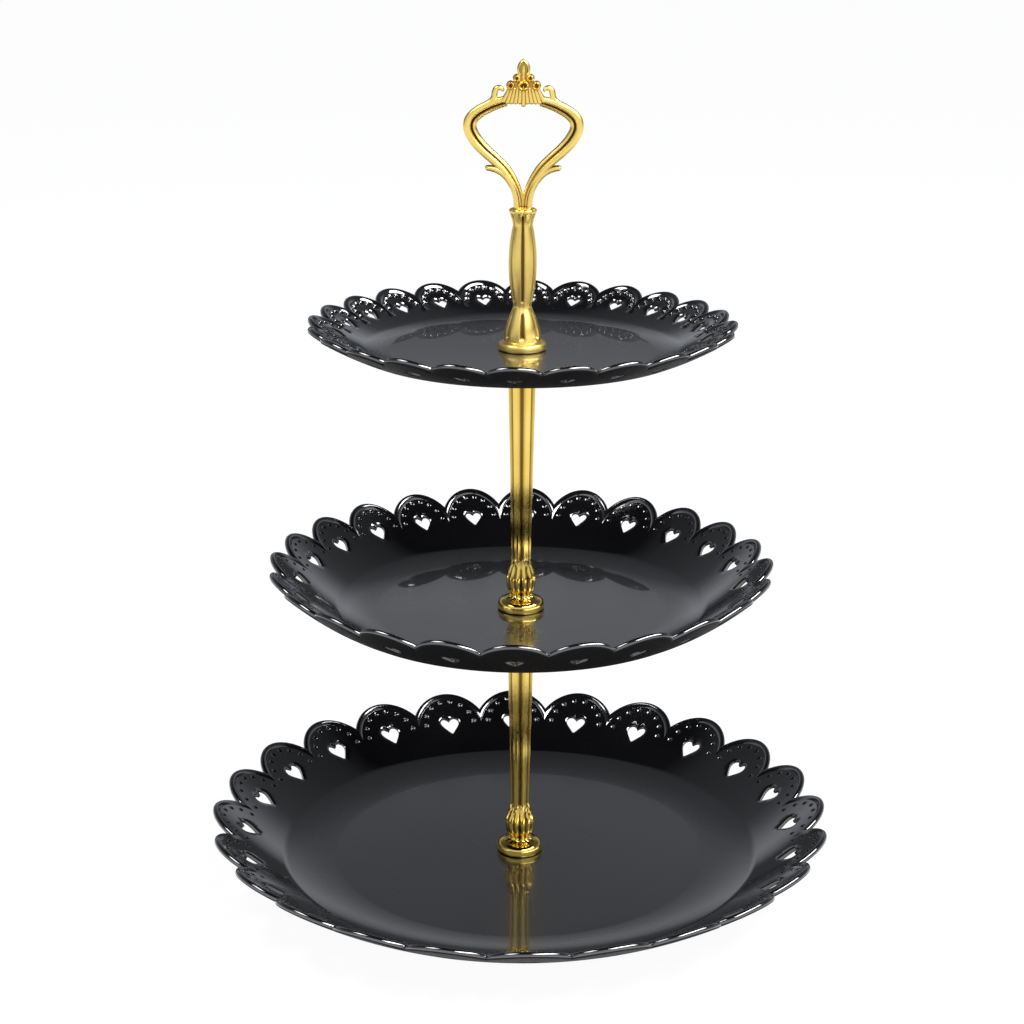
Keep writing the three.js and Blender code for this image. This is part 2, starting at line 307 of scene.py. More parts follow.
def black_plastic():
    """Polished on top under a clear skin, with a satin well, and matt underneath, where the reflection is
    turned nearly off: partly a matt finish, partly painted shade for the dark under the plate.
    """
    n = Nodes("black_plastic")
    haze = n.noise(22, 4)
    grain = n.noise(900, 2)
    wave = n.noise(14, 1)
    below = n.facing(0.3, -0.15)
    well = n.facing(0.975, 0.998)
    on_top = n.blend(well, n.spread(haze, 0.09, 0.13), n.spread(haze, 0.26, 0.32))

    def by_place(polished, satin, turning, matt):
        return n.blend(below, n.spread(well, polished, satin, 0, 1), n.spread(below, turning, matt, 0, 1))

    return n.set(
        Base_Color=n.ramp(haze, (0.0035, 0.0035, 0.0042), (0.0065, 0.0065, 0.0075)),
        Roughness=n.blend(below, on_top, n.spread(grain, 0.5, 0.65)),
        IOR=2.0,
        # Underneath 0.04: the dimmed reflection is painted shade under the plate as well as a matt finish.
        Specular_IOR_Level=by_place(0.3, 0.5, 0.5, 0.04),
        Coat_Weight=by_place(1, 0.6, 1, 0),
        Coat_IOR=2.0,
        Coat_Roughness=n.spread(haze, 0.02, 0.045),
        Normal=n.bump(grain, 0.05, 0.00002, n.bump(wave, 0.08, 0.0004)),
    )


def gold(name, light, deep, smooth, rough):
    """Plated casting: cloudy gold over a faint cast texture, turned dark brown by the shade painted where
    the mesh's recess attribute rises.
    """
    n = Nodes(name)
    cloud = n.noise(60, 4)
    grain = n.noise(1400, 3)
    cast = n.noise(170, 2)
    recess = n.tree.nodes.new("ShaderNodeAttribute")
    recess.attribute_name = "recess"
    # Dark brown of the painted shade in grooves, gaps and along the sides of swept sections.
    hollow = n.ramp(cloud, (0.09, 0.045, 0.012), (0.13, 0.07, 0.02))
    return n.set(
        Metallic=1.0,
        Base_Color=mix(n.tree, "RGBA", recess.outputs["Fac"], n.ramp(cloud, deep, light), hollow),
        Roughness=n.spread(cloud, smooth, rough),
        Normal=n.bump(grain, 0.08, 0.00003, n.bump(cast, 0.1, 0.0002)),
    )


def zinc_plating():
    n = Nodes("zinc_plating")
    cloud = n.noise(120, 5)
    lines = n.noise(700, 2, (1, 1, 0.05))
    return n.set(
        Metallic=1.0,
        Base_Color=n.ramp(cloud, (0.5, 0.51, 0.53), (0.64, 0.65, 0.67)),
        Roughness=n.spread(cloud, 0.2, 0.38),
        Normal=n.bump(lines, 0.15, 0.00004),
    )


def soft_rubber():
    n = Nodes("soft_rubber")
    cloud = n.noise(200, 4)
    grain = n.noise(1800, 3)
    return n.set(
        Base_Color=n.ramp(cloud, (0.012, 0.012, 0.012), (0.022, 0.022, 0.021)),
        Roughness=n.spread(grain, 0.5, 0.7),
        Normal=n.bump(grain, 0.3, 0.00008),
    )


PLASTIC = black_plastic()
GOLD = gold("gold_plating", (0.92, 0.68, 0.18), (0.84, 0.59, 0.13), 0.1, 0.17)
SATIN_GOLD = gold("satin_gold", (0.95, 0.71, 0.22), (0.88, 0.64, 0.17), 0.32, 0.4)
ZINC, RUBBER = zinc_plating(), soft_rubber()

# ---- plates

WALL = 2.0
WELL_FLOOR = 2.2
PLATE_BORE = 3.4
WELL_SOFTNESS, KINK_SOFTNESS = 0.4, 1.3
# Bead along the scalloped edge: how far its crest and its inner foot are from the edge.
BEAD, BEAD_FOOT = 1.3, 3.1
BEAD_RADIUS = 1.3
EDGE_GROWTH = 0.2
SCALLOP_DEPTH_RATIO = 0.061
HEART_RATIO = 0.0335
# A heart's outline for a half width of 1, from its point up its right side.
HEART = [(0, -1.2), (0.14, -1.09), (0.42, -0.72), (0.76, -0.28), (0.98, 0.14), (0.97, 0.52),
         (0.72, 0.81), (0.38, 0.83), (0.12, 0.63), (0, 0.48)]
HEART_DRAFT = 0.35
LIP, LIP_DROP = 1.5, 0.5
# Dimples in a ring round each heart, which is shorter in plan because the lace slopes.
DIMPLE_RING, DIMPLE_RING_SHORTER = 11.9, 0.9
DIMPLE_STEP, DIMPLES_EACH_SIDE = 25.6, 4
DIMPLE_RADIUS, DIMPLE_DEPTH = 1.15, 0.5
PLATES = [
    # Slopes are tangents: at the well's edge, below and above the kink, and at the lace's edge.
    # Foot is the foot ring's mean radius, width and height.
    {"name": "bottom_plate", "body": "bottom_tier", "tip": 132.8, "well": 80.3, "kink": 102.4,
     "hearts": 118.1, "turn": -1.82, "foot": (70, 3, 6.8), "slopes": (0.03, 0.22, 0.48, 0.76)},
    {"name": "middle_plate", "body": "middle_tier", "tip": 105.3, "well": 61.7, "kink": 77.8,
     "hearts": 93.4, "turn": 1.36, "foot": (54, 2.4, 2), "slopes": (0.05, 0.28, 0.50, 0.96)},
    {"name": "top_plate", "body": "top_tier", "tip": 87.2, "well": 54.6, "kink": 65.4,
     "hearts": 76.1, "turn": 2.1, "foot": (44, 2, 1.2), "slopes": (0.03, 0.20, 0.40, 0.64)},
]


class Plate:
    """The shape of one plate: its rim's curve, scalloped edge, hearts and dimples."""

    def __init__(self, spec):
        self.__dict__.update(spec)
        first, before, after, last = self.slopes
        past = 5
        grow = (last - after) / (self.tip - self.kink)
        self.knots = [self.well - WELL_SOFTNESS, self.well + WELL_SOFTNESS, self.kink - KINK_SOFTNESS,
                      self.kink + KINK_SOFTNESS, self.tip, self.tip + past]
        self.tangents = [0, first, before, after, last, last + past * grow]
        self.size = self.tip / PLATES[0]["tip"]
        edge = self.tip + EDGE_GROWTH
        valley = edge * (1 - SCALLOP_DEPTH_RATIO)
        half_chord = valley * math.sin(HALF_PITCH)
        sagitta = edge - valley * math.cos(HALF_PITCH)
        self.arc = (half_chord ** 2 + sagitta ** 2) / (2 * sagitta)
        self.centre = edge - self.arc
        self.edge = edge
        self.edge_slope = last - 0.05  # on the bead, just inside the tip
        self.heart_lean = math.atan(float(self.slope(np.array(self.hearts))))
        self.heart = self.heart_outline()
        self.dimples = self.dimple_places()

    # rim curve
    def slope(self, radius):
        return np.interp(radius, self.knots, self.tangents)

    def height(self, radius):
        out = np.zeros_like(radius)
        stretches = zip(self.knots[:-1], self.knots[1:], self.tangents[:-1], self.tangents[1:])
        for a, b, sa, sb in stretches:
            u = np.clip(radius - a, 0, b - a)
            out = out + sa * u + (sb - sa) / (b - a) * u * u / 2
        return out

    # scalloped edge: inset is the distance from the edge, measured on the sloping surface
    def stretch(self, turn):
        return np.sqrt(1 + (self.edge_slope * np.cos(turn)) ** 2)

    def inset(self, across, out):
        above = np.maximum(out - self.centre, 0)
        turn = np.arctan2(across, above)
        return (self.arc - np.hypot(across, above)) * self.stretch(turn)

    def edge_row(self, inset, count):
        """Plan points across one scallop at an inset, from one border of the sector to the other."""
        low, high = 0.0, math.pi / 2
        for _ in range(50):
            mid = (low + high) / 2
            away = self.arc - inset / self.stretch(mid)
            inside = away * math.sin(mid) < (self.centre + away * math.cos(mid)) * math.tan(HALF_PITCH)
            low, high = (mid, high) if inside else (low, mid)
        turn = np.linspace(-low, low, count)
        away = self.arc - inset / self.stretch(turn)
        return np.stack([away * np.sin(turn), self.centre + away * np.cos(turn)], 1)

    # heart, in the plan of the sector, its point towards the column
    def heart_outline(self):
        right = smooth_line(HEART, 3)
        left = right[::-1][1:-1] * [-1, 1]
        shape = np.concatenate([right, left]) * (HEART_RATIO * self.tip)
        shape[:, 1] = shape[:, 1] * math.cos(self.heart_lean) + self.hearts
        return shape

    def grown_heart(self, gap):
        middle = self.heart.mean(0)
        return (self.heart - middle) * (1 + gap / np.abs(self.heart - middle).max()) + middle

    def heart_gap(self, across, out):
        """Distance outside the heart's outline, negative inside it, on the sloping surface."""
        scale = np.array([1, 1 / math.cos(self.heart_lean)])
        p = np.stack([across, out], -1) * scale
        a = self.heart * scale
        b = np.roll(a, -1, axis=0)
        ab = b - a
        ap = p[:, None, :] - a[None]
        t = np.clip((ap * ab).sum(-1) / (ab * ab).sum(-1), 0, 1)
        gap = np.linalg.norm(ap - t[..., None] * ab, axis=-1).min(1)
        return np.where(inside_loop(p, a), -gap, gap)

    def dimple_places(self):
        """[across, out] of every dimple in one sector."""
        ring = DIMPLE_RING * self.size
        steps = [math.radians(DIMPLE_STEP * (i + 0.5)) for i in range(DIMPLES_EACH_SIDE)]
        turns = [-t for t in steps[::-1]] + steps
        return [(ring * math.sin(t), self.hearts + DIMPLE_RING_SHORTER * ring * math.cos(t)) for t in turns]

    # relief over the rim's curve, along its normal
    def relief(self, across, out):
        inset = self.inset(across, out)
        share = np.clip((inset - BEAD) / (BEAD_FOOT - BEAD), 0, 1)
        crest = 2 * BEAD_RADIUS - WALL
        height = crest * np.cos(share * math.pi / 2)
        r, h = DIMPLE_RADIUS * math.sqrt(self.size), DIMPLE_DEPTH * math.sqrt(self.size)
        for a, o in self.dimples:
            lean = math.sqrt(1 + float(self.slope(np.array(math.hypot(a, o)))) ** 2)
            d = ((across - a) ** 2 + ((out - o) * lean) ** 2) / r ** 2
            height = np.where(d < 1, np.minimum(height, -h * (1 - d)), height)
        gap = self.heart_gap(across, out)
        return height - np.where(gap < LIP, LIP_DROP * (1 - gap / LIP) ** 2, 0)

    def lift(self, across, out, relief):
        """Space points for plan points of the sector and their relief along the rim's normal."""
        radius = np.hypot(across, out)
        lean = np.arctan(self.slope(radius))
        inward = -relief * np.sin(lean) / radius
        x, y = across * (1 + inward), out * (1 + inward)
        return np.stack([x, y, self.height(radius) + relief * np.cos(lean)], 1)

    def top_points(self, plan):
        """Space points and normals of the upper surface for plan points of the sector."""
        a, o = plan.T
        step = 0.012

        def at(da, do):
            return self.lift(a + da, o + do, self.relief(a + da, o + do))

        along, outwards = at(step, 0) - at(-step, 0), at(0, step) - at(0, -step)
        return at(0, 0), unit(np.cross(along, outwards))

    def under_points(self, plan):
        a, o = plan.T
        radius = np.hypot(a, o)
        s = self.slope(radius)
        points = self.lift(a, o, np.full(len(a), -WALL))
        normals = np.stack([s * a / radius, s * o / radius, np.full(len(a), -1.0)], 1)
        return points, unit(normals)


def dedupe(points, gap):
    """Keeps each point that is at least the gap away from those kept before it."""
    kept, cells = [], {}
    for p in points:
        x, y = int(p[0] // gap), int(p[1] // gap)
        near = (q for i in (-1, 0, 1) for j in (-1, 0, 1) for q in cells.get((x + i, y + j), ()))
        if all((p[0] - q[0]) ** 2 + (p[1] - q[1]) ** 2 >= gap * gap for q in near):
            cells.setdefault((x, y), []).append(p)
            kept.append(p)
    return kept


def triangulate(loops, free=()):
    """Plan points and triangles between an outer loop and its holes, through the free points."""
    points, edges = [], []
    for loop in loops:
        start = len(points)
        points += [Vector(p) for p in loop]
        edges += [(start + i, start + (i + 1) % len(loop)) for i in range(len(loop))]
    points += [Vector(p) for p in free]
    out, _, faces, _, _, _ = delaunay_2d_cdt(points, edges, [], 0, 1e-7, True)
    plan = np.array([tuple(p) for p in out])
    middles = np.array([plan[list(f)].mean(0) for f in faces])
    keep = inside_loop(middles, np.array(loops[0]))
    for hole in loops[1:]:
        keep &= ~inside_loop(middles, np.array(hole))
    return plan, [f for f, k in zip(faces, keep) if k]


# One sector of lace is built round the +Y direction of the plan. Each function gives a part of it
# as points, normals and faces.
ACROSS_STEPS, FOOT_STEPS, ROLL_STEPS = 25, 10, 9
FLANK_FOOT = BEAD_FOOT + 0.3
FINE, COARSE = 1.5, 2.6


def lace_foot(plate):
    return max(plate.hearts - 13.5 * plate.size, plate.kink + KINK_SOFTNESS)


def sector_borders(plate):
    """Plan points of the right border, from the bead's flank inwards, and of the lace's foot."""
    foot = lace_foot(plate)
    valley = math.hypot(*plate.edge_row(FLANK_FOOT, ACROSS_STEPS)[0])
    close = valley - 2.4
    radii = np.concatenate([
        np.linspace(valley, close, 7),
        np.linspace(close, foot, max(6, int((close - foot) / 1.3)))[1:],
    ])
    right = [(r * math.sin(HALF_PITCH), r * math.cos(HALF_PITCH)) for r in radii]
    turns = np.linspace(-HALF_PITCH, HALF_PITCH, FOOT_STEPS + 1)
    return right, [(foot * math.sin(a), foot * math.cos(a)) for a in turns]


def sector_outline(row, right, inner):
    """Closed outline: a row along the edge, the right border, the foot and the left border."""
    left = [(-a, o) for a, o in right[::-1]]
    return [tuple(p) for p in row] + right + inner[::-1] + left


def within(plate, points, side, rim):
    """The plan points that are clear of the sector's borders and of its edge by those gaps."""
    limit = math.tan(HALF_PITCH)
    points = [p for p in points if abs(p[0]) < p[1] * limit - side]
    return [p for p, inset in zip(points, plate.inset(*np.array(points).T)) if inset > rim]


def off_heart(plate, points, gap):
    return [p for p, g in zip(points, plate.heart_gap(*np.array(points).T)) if g > gap]


def lattice(plate, across, out, start):
    """Staggered plan points over the whole sector."""
    foot = lace_foot(plate)
    reach = int(plate.edge * math.tan(HALF_PITCH) / across) + 1
    rows = int((plate.edge - foot) / out) + 1
    return [((j + 0.5 * (i % 2)) * across, foot + start + i * out)
            for i in range(rows) for j in range(-reach, reach + 1)]


def upper_sheet(plate, right, inner):
    features = []
    r = DIMPLE_RADIUS * math.sqrt(plate.size)
    for a, o in plate.dimples:
        for share, count, offset in ((0, 1, 0), (0.5, 6, 0.5), (0.97, 10, 0), (1.14, 10, 0)):
            for i in range(count):
                turn = 2 * math.pi * (i + offset) / count
                features.append((a + share * r * math.sin(turn), o + share * r * math.cos(turn) * 0.85))
    for gap in (0.25, 0.6, 1.05, 1.52):
        features += [tuple(p) for p in plate.grown_heart(gap)]
    features = within(plate, features, 0.25, BEAD_FOOT + 0.45)
    outline = sector_outline(plate.edge_row(FLANK_FOOT, ACROSS_STEPS), right[1:-1], inner)
    heart = [tuple(p) for p in plate.heart]
    fixed = outline + heart
    features = dedupe(fixed + dedupe(features, 0.16), 0.14)[len(dedupe(fixed, 0.14)):]
    near = np.array(fixed + features)
    between_them = within(plate, lattice(plate, FINE, FINE * 0.87, 0.9), 0.5, BEAD_FOOT + 1.3)
    between_them = [p for p in between_them if np.hypot(*(near - p).T).min() >= FINE / 2]
    plan, faces = triangulate([outline, heart], off_heart(plate, features + between_them, 0.05))
    return *plate.top_points(plan), faces


def bead_flank(plate):
    """Inner flank of the bead, in rows that follow the edge."""
    insets = np.concatenate([[FLANK_FOOT, BEAD_FOOT + 0.05], np.linspace(BEAD_FOOT - 0.05, BEAD, 6)])
    plan = np.concatenate([plate.edge_row(inset, ACROSS_STEPS) for inset in insets])
    return *plate.top_points(plan), grid_faces(len(insets), ACROSS_STEPS, closed=False)


def lower_sheet(plate, right, inner):
    row = plate.edge_row(BEAD_RADIUS, ACROSS_STEPS)
    reach = math.hypot(*row[0]) - 0.3
    border = [p for p in right[:-1] if math.hypot(*p) < reach][::2]
    heart = [tuple(p) for p in plate.grown_heart(HEART_DRAFT)]
    free = within(plate, lattice(plate, COARSE, 2.3, 1.5), 0.9, BEAD + 1.2)
    plan, faces = triangulate([sector_outline(row, border, inner), heart], off_heart(plate, free, 1.2))
    return *plate.under_points(plan), faces


def rolled_edge(plate):
    """Outer edge, from the bead's crest round to the lower surface."""
    rows, normals = [], []
    for turn in np.linspace(0, math.pi, ROLL_STEPS + 1):
        width = BEAD if turn < math.pi / 2 else BEAD_RADIUS
        a, o = plate.edge_row(width * (1 - math.sin(turn)), ACROSS_STEPS).T
        rows.append(plate.lift(a, o, np.full(len(a), BEAD_RADIUS * (1 + math.cos(turn)) - WALL)))
        radius = np.hypot(a, o)
        s = plate.slope(radius)
        up = unit(np.stack([-s * a / radius, -s * o / radius, np.ones_like(a)], 1))
        outwards = unit(np.stack([a, o - plate.centre], 1))
        rise = s * (outwards[:, 0] * a + outwards[:, 1] * o) / radius
        outwards = np.concatenate([outwards, rise[:, None]], 1)
        outwards = unit(outwards - (outwards * up).sum(1, keepdims=True) * up)
        normals.append(unit(outwards * (math.sin(turn) / width) + up * (math.cos(turn) / BEAD_RADIUS)))
    faces = grid_faces(ROLL_STEPS + 1, ACROSS_STEPS, closed=False)
    return np.concatenate(rows), np.concatenate(normals), faces


def heart_wall(plate):
    """Wall of the heart's hole, from the lip down to the lower surface."""
    h = plate.heart
    lip = float(plate.relief(h[:1, 0], h[:1, 1])[0])
    tangent = unit(np.roll(h, -1, axis=0) - np.roll(h, 1, axis=0))
    rows, normals = [], []
    for outline, relief, tilt in ((h, lip, 0), (h, -1.0, 0), (h, -1.6, 0),
                                  (plate.grown_heart(HEART_DRAFT), -WALL, -0.8)):
        rows.append(plate.lift(outline[:, 0], outline[:, 1], np.full(len(h), relief)))
        normals.append(unit(np.stack([-tangent[:, 1], tangent[:, 0], np.full(len(h), tilt)], 1)))
    return np.concatenate(rows), np.concatenate(normals), grid_faces(len(rows), len(h))


def plate_surface(plate):
    surface = Surface()
    borders = sector_borders(plate)
    parts = [upper_sheet(plate, *borders), bead_flank(plate), lower_sheet(plate, *borders),
             rolled_edge(plate), heart_wall(plate)]
    for sector in range(SCALLOPS):
        turn = 2 * math.pi * sector / SCALLOPS + math.radians(plate.turn)
        c, s = math.cos(turn), math.sin(turn)
        spin_by = np.array([[c, -s, 0], [s, c, 0], [0, 0, 1]])
        for points, normals, faces in parts:
            surface.add(points @ spin_by, normals @ spin_by, faces)

    # rim and well inside the lace
    foot, soft = lace_foot(plate), KINK_SOFTNESS
    radii = np.concatenate([
        [PLATE_BORE + 0.3, 12, plate.well * 0.5, plate.well - 6],
        plate.well + np.array([-0.8, -0.4, 0, 0.4, 0.8]),
        np.linspace(plate.well + 3, plate.kink - soft, 7),
        np.linspace(plate.kink - soft, min(plate.kink + soft, foot), 7)[1:],
        [foot] if foot > plate.kink + soft + 0.1 else [],
    ])
    segments = SCALLOPS * FOOT_STEPS
    start = math.radians(plate.turn) - HALF_PITCH
    ring_radius, ring_width, ring_height = plate.foot
    under = radii[radii > ring_radius + ring_width + 1]
    for band, relief, side in ((radii, 0.0, 1), (under, -WALL, -1)):
        slope = plate.slope(band)
        lean = np.arctan(slope)
        rows = np.stack([band - relief * np.sin(lean), plate.height(band) + relief * np.cos(lean)], 1)
        normals = unit(np.stack([-slope, np.ones_like(slope)], 1)) * side
        spin(surface, rows, normals, segments, start)

    # bore, underside of the well and foot ring, out to the start of the lower band
    bore_edge = [[PLATE_BORE + 0.3, 0.0], [PLATE_BORE, -0.3]]
    ring_in, ring_out = ring_radius - ring_width * 0.85, ring_radius + ring_width * 0.85
    rest_in, rest_out = ring_radius - ring_width * 0.5, ring_radius + ring_width * 0.5
    rest = -WELL_FLOOR - ring_height
    underside = [[PLATE_BORE, -0.3], [PLATE_BORE, -WELL_FLOOR], [ring_in, -WELL_FLOOR], [rest_in, rest],
                 [rest_out, rest], [ring_out, -WALL], rows[0].tolist()]
    for line in (bore_edge, rounded(underside, 0.5, 2)):
        revolve(surface, line, segments, 50, start)
    return surface


for spec in PLATES:
    surface = plate_surface(Plate(spec))
    well = level(spec["name"]) + spec["foot"][2] + WELL_FLOOR
    surface.points = [p + [0, 0, well] for p in surface.points]
    place(surface, spec["name"] + "_moulding", PLASTIC, spec["body"], [spec["name"]])

# ---- washers, gaskets and screws

SMALL_SEGMENTS = 72


def ring(node, body, material, slot, chamfer):
    """A washer or gasket with softened edges, in the space of its CAD node."""
    low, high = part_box(node)
    outer = (high.x - low.x) / 2 / MM
    inner = RING_BORES[slot]
    z0, z1 = low.z / MM, high.z / MM
    c, bulge = chamfer, 0.3 * chamfer
    surface = Surface()
    outside = [[outer - c, z0], [outer - bulge, z0 + bulge], [outer, z0 + c], [outer, z1 - c],
               [outer - bulge, z1 - bulge], [outer - c, z1], [inner + c, z1], [inner, z1 - c],
               [inner, z0 + c], [inner + c, z0], [outer - c, z0]]
    revolve(surface, outside, SMALL_SEGMENTS, 60)
    place(surface, node + "_ring", material, body, [node])


RING_BORES = {"steel": 3.3, "gasket": 3.5}
STACKS = {
    "bottom": ("base_fixing", "base_seat"),
    "middle": ("lower_column", "middle_seat"),
    "top": ("upper_column", "top_seat"),
}
for tier, (below, above) in STACKS.items():
    ring(tier + "_washer", below, ZINC, "steel", 0.25)
    ring(tier + "_lower_gasket", below, RUBBER, "gasket", 0.22)
    ring(tier + "_upper_gasket", above, RUBBER, "gasket", 0.22)

THREAD_PITCH = 1.0
THREAD_CREST, THREAD_ROOT, THREAD_END = 2.95, 2.4, 2.1
THREAD_TAPER = 0.8


def thread(surface, z0, z1, tapered_start=True):
    """A threaded shank with closed ends; its ridge climbs one pitch per turn, right-handed."""
    columns, rows_per_pitch = 28, 5
    rows = int((z1 - z0) / THREAD_PITCH * rows_per_pitch)
    turn, row = np.meshgrid(np.linspace(0, 2 * math.pi, columns + 1), np.arange(rows + 1, dtype=float))

    def shape(turn, row):
        z = z0 + (z1 - z0) * row / rows
        phase = (z / THREAD_PITCH - turn / (2 * math.pi)) % 1
        ridge = np.clip(1.25 * (1 - np.abs(2 * phase - 1)) - 0.12, 0, 1)
        full = np.clip((z1 - z) / THREAD_TAPER, 0, 1)
        if tapered_start:
            full = np.minimum(full, np.clip((z - z0) / THREAD_TAPER, 0, 1))
        height = (THREAD_CREST - THREAD_ROOT) * ridge * full
        r = THREAD_ROOT + height - (THREAD_ROOT - THREAD_END) * (1 - full)
        return np.stack([r * np.cos(turn), r * np.sin(turn), z], -1)

    step = 0.02
    du = shape(turn + step, row) - shape(turn - step, row)
    dv = shape(turn, np.clip(row + 0.4, 0, rows)) - shape(turn, np.clip(row - 0.4, 0, rows))
    normals = unit(np.cross(du, dv)).reshape(-1, 3)
    surface.add(shape(turn, row).reshape(-1, 3), normals, grid_faces(rows + 1, columns + 1, closed=False))
    fan = [[columns, i, (i + 1) % columns] for i in range(columns)]
    for z, at, up in ((z0, 0.0, -1), (z1, float(rows), 1)):
        rim = shape(turn[0][:-1], np.full(columns, at))
        surface.add(np.concatenate([rim, [[0, 0, z]]]), [[0, 0, up]] * (columns + 1), fan)


HEAD_HEIGHT = 2.6
SLOT_WIDTH, SLOT_REACH, SLOT_DEPTH = 1.3, 3.36, 1.4


def screw_head(surface, z0, radius):
    """Pan head with a rounded edge and a sunk cross slot, its top flat against the washer."""
    face = radius * 0.72
    side = [[face, 0], [radius * 0.86, 0.25], [radius * 0.95, 0.7], [radius, 1.3], [radius, HEAD_HEIGHT]]
    side = rounded([[r, z0 + z] for r, z in side], 0.3) + [[THREAD_ROOT, z0 + HEAD_HEIGHT]]
    revolve(surface, side, SMALL_SEGMENTS, 40)
    half = SLOT_WIDTH / 2
    cross = []
    for along, across in ((1, 0), (0, 1), (-1, 0), (0, -1)):
        for a, b in ((SLOT_REACH, -half), (SLOT_REACH, half), (half, half)):
            cross.append((a * along - b * across, a * across + b * along))
    turns = [2 * math.pi * i / SMALL_SEGMENTS for i in range(SMALL_SEGMENTS)]
    rim = [(face * math.cos(t), face * math.sin(t)) for t in turns]
    z1 = z0 + SLOT_DEPTH
    for loops, z in (([rim, cross], z0), ([cross], z1)):
        plan, faces = triangulate(loops)
        surface.add([[x, y, z] for x, y in plan], [[0, 0, -1]] * len(plan), faces)
    for (ax, ay), (bx, by) in zip(cross, cross[1:] + cross[:1]):
        wall = [[ax, ay, z0], [bx, by, z0], [bx, by, z1], [ax, ay, z1]]
        surface.add(wall, [unit(np.array([ay - by, bx - ax, 0.0]))] * 4, [[0, 1, 2, 3]])


for name, body in (("lower_stud", "lower_column"), ("upper_stud", "upper_column")):
    surface = Surface()
    thread(surface, level(name), level(name, 1))
    place(surface, name + "_thread", ZINC, body, [name])

surface = Surface()
low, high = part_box("base_screw")
screw_head(surface, low.z / MM, (high.x - low.x) / 2 / MM)
thread(surface, low.z / MM + HEAD_HEIGHT, high.z / MM, tapered_start=False)
place(surface, "base_screw_thread", ZINC, "base_fixing", ["base_screw"])

# ---- gold castings

ROD_LENGTH = level("lower_rod", 1) - level("lower_rod")


def from_groove(turn, lobes):
    """Angle to the nearest groove. One groove is at turn 0, the front."""
    pitch = 2 * math.pi / lobes
    return np.abs((turn + pitch / 2) % pitch - pitch / 2)


def groove(turn, lobes, half_width, depth):
    """Share of the radius cut away by rounded grooves."""
    x = np.minimum(from_groove(turn, lobes) / half_width, 1)
    return depth * np.cos(x * math.pi / 2) ** 1.3


def swell(turn, lobes, depth):
    """Share of the radius cut away between rounded lobes that meet in sharp grooves."""
    return depth * (1 - np.abs(np.sin(turn * lobes / 2)))


def shadow(turn, lobes, half_width):
    """How deep in a groove a point lies, 1 at its bottom; it sets how strong the painted shade is there."""
    return np.exp(-((from_groove(turn, lobes) / half_width) ** 2))


def spline_rows(points, step=0.6):
    """Rows of a smooth side line, closer together than the step, as arrays [radius, height]."""
    fine = smooth_line(points, 12)
    length = np.concatenate([[0], np.cumsum(np.linalg.norm(np.diff(fine, axis=0), axis=1))])
    count = max(2, int(length[-1] / step) + 1)
    at = np.linspace(0, length[-1], count)
    return np.stack([np.interp(at, length, fine[:, i]) for i in range(fine.shape[1])], 1)


def fluted(surface, rows, cut, dark, seat, strips=12, columns=8):
    """Adds a column side from rows of [radius, height]. cut and dark take the turn from the front
    and the height; dark is the shade painted in the grooves, from 0 to 1. Each strip between two
    grooves has its own normals, so that grooves stay sharp."""
    numbers = np.arange(len(rows), dtype=float)

    def at(row, column):
        return np.interp(row.reshape(-1), numbers, rows[:, column]).reshape(row.shape)

    def shape(turn, row):
        z = at(row, 1)
        r = at(row, 0) * (1 - cut(turn, z))
        return np.stack([r * np.sin(turn), -r * np.cos(turn), z + seat], -1)

    pitch = 2 * math.pi / strips
    step = pitch * 1e-3
    for strip in range(strips):
        around = np.linspace(strip * pitch, (strip + 1) * pitch, columns + 1)
        u, v = np.meshgrid(around, numbers)
        du = shape(np.minimum(u + step, around[-1]), v) - shape(np.maximum(u - step, around[0]), v)
        dv = shape(u, np.minimum(v + 0.5, numbers[-1])) - shape(u, np.maximum(v - 0.5, 0))
        surface.add(shape(u, v).reshape(-1, 3), unit(np.cross(du, dv)).reshape(-1, 3),
                    grid_faces(len(rows), columns + 1, closed=False), dark(u, at(v, 1)).reshape(-1))


def between(z, start, end, soft):
    """1 between two heights, easing to 0 over the soft length outside them."""
    return np.clip((z - start) / soft + 1, 0, 1) * np.clip((end - z) / soft + 1, 0, 1)


# Underside of a flange, from its bore out: a shallow skirt hides the gasket that it presses on.
SKIRT = [[3.0, 0], [9.15, 0], [9.15, -0.95], [9.75, -0.95], [9.9, -0.3]]


def flange(surface, top, seat):
    """A domed flange from the top half of its side line."""
    revolve(surface, [[r, z + seat] for r, z in rounded(SKIRT + top, 0.4)], 96, 40)


